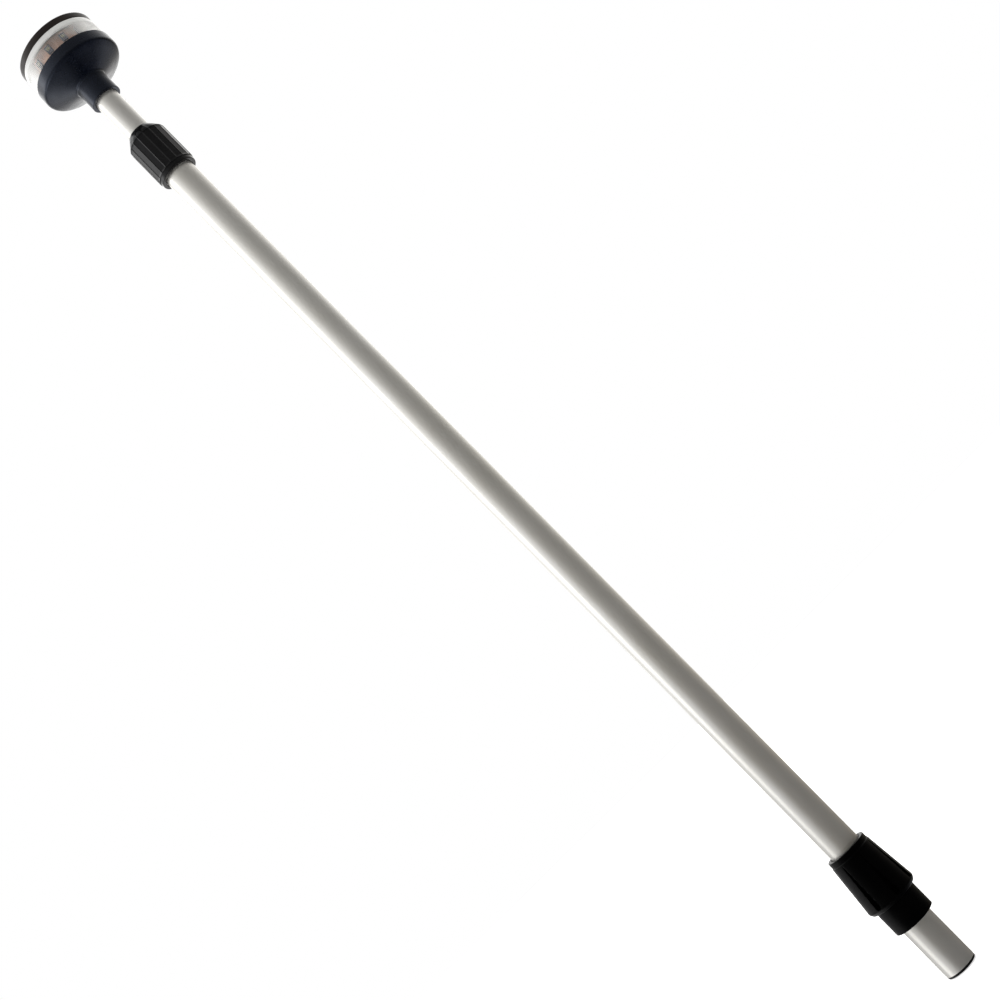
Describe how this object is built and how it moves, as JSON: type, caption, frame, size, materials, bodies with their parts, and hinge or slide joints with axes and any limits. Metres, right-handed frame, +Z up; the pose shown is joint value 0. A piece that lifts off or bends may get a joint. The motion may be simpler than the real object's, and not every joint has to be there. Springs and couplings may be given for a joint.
{
  "type": "navigation light",
  "caption": "All-round boat navigation light on a telescoping aluminium plug-in pole, with a fluted lens, a twist clamp and a winged locking collar.",
  "frame": {"origin": "centre of the plug's bottom face", "axes": "+Z up the pole towards the lamp head; the plug's two contacts lie along X"},
  "size_m": [0.0718, 0.0718, 0.9556],
  "materials": {
    "bare_aluminium": "satin clear-anodised, with fine drawing lines",
    "machined_aluminium": "machined",
    "black_plastic": "moulded, satin, fine grain",
    "navy_plastic": "moulded, satin, blue-black",
    "white_nylon": "natural nylon",
    "black_rubber": "matt",
    "contact_brass": "turned",
    "stainless_steel": "stainless",
    "clear_plastic": "clear polycarbonate, fluted",
    "copper_board": "flexible circuit, pinkish brown",
    "led_phosphor": "LED package with a yellow phosphor",
    "green_board": "solder mask",
    "capacitor_sleeve": "shrink sleeve",
    "red_insulation": "wire insulation",
    "black_insulation": "wire insulation"
  },
  "bodies": {
    "outer_mast": {"outer_tube": "bare_aluminium", "plug_insert": "black_plastic", "contact_1": "contact_brass", "contact_2": "contact_brass", "plug_seal": "black_rubber", "wire_red": "red_insulation", "wire_black": "black_insulation", "lead_clamp": "black_plastic", "lower_lead": "black_rubber", "coiled_lead": "black_rubber", "collar_stop_ring": "stainless_steel", "clamp_ferrule": "black_plastic", "collet": "white_nylon"},
    "collar_slider": {"slip_washer": "white_nylon"},
    "deck_collar": {"locking_collar": "black_plastic", "collar_seal": "black_rubber"},
    "clamp_slider": {"clamp_washer": "white_nylon"},
    "clamp_collar": {"twist_collar": "black_plastic", "wiper_seal": "black_rubber", "collar_clip": "stainless_steel"},
    "mast_slider": {"guide_bush": "white_nylon", "foot_grommet": "black_rubber"},
    "inner_mast": {"inner_tube": "bare_aluminium", "head_grommet": "black_rubber", "mast_lead": "black_rubber", "lamp_housing": "navy_plastic", "neck_set_screw": "stainless_steel", "neck_seal": "black_rubber", "lens_gasket": "black_rubber", "cap_gasket": "black_rubber", "lens": "clear_plastic", "top_cap": "black_plastic", "cap_screw_1": "stainless_steel", "cap_screw_2": "stainless_steel", "cap_screw_3": "stainless_steel", "led_carrier": "machined_aluminium", "led_board": "copper_board", "led_1": "led_phosphor", "led_2": "led_phosphor", "led_3": "led_phosphor", "led_4": "led_phosphor", "led_5": "led_phosphor", "led_6": "led_phosphor", "led_7": "led_phosphor", "led_8": "led_phosphor", "led_9": "led_phosphor", "led_10": "led_phosphor", "led_11": "led_phosphor", "led_12": "led_phosphor", "driver_board": "green_board", "driver_capacitor": "capacitor_sleeve", "led_wire_red": "red_insulation", "led_wire_black": "black_insulation"}
  },
  "joints": [
    {"name": "mast_slide", "type": "slide", "parent": "outer_mast", "child": "mast_slider", "axis": [0, 0, 1], "range_m": [-0.036, 0.56], "deforming": ["coiled_lead"]},
    {"name": "mast_turn", "type": "hinge", "parent": "mast_slider", "child": "inner_mast", "pos_m": [0, 0, 0.178], "axis": [0, 0, 1], "range_deg": [-180, 180]},
    {"name": "clamp_rise", "type": "slide", "parent": "outer_mast", "child": "clamp_slider", "axis": [0, 0, 1], "range_m": [0, 0.001]},
    {"name": "clamp_turn", "type": "hinge", "parent": "clamp_slider", "child": "clamp_collar", "pos_m": [0, 0, 0.83], "axis": [0, 0, 1], "range_deg": [0, 180]},
    {"name": "deck_collar_slide", "type": "slide", "parent": "outer_mast", "child": "collar_slider", "axis": [0, 0, 1], "range_m": [0, 0.69]},
    {"name": "deck_collar_turn", "type": "hinge", "parent": "collar_slider", "child": "deck_collar", "pos_m": [0, 0, 0.076], "axis": [0, 0, 1], "continuous": true}
  ],
  "couplings": [
    {"joint": "clamp_rise", "follows": "clamp_turn", "m_per_rad": 0.00031831}
  ]
}
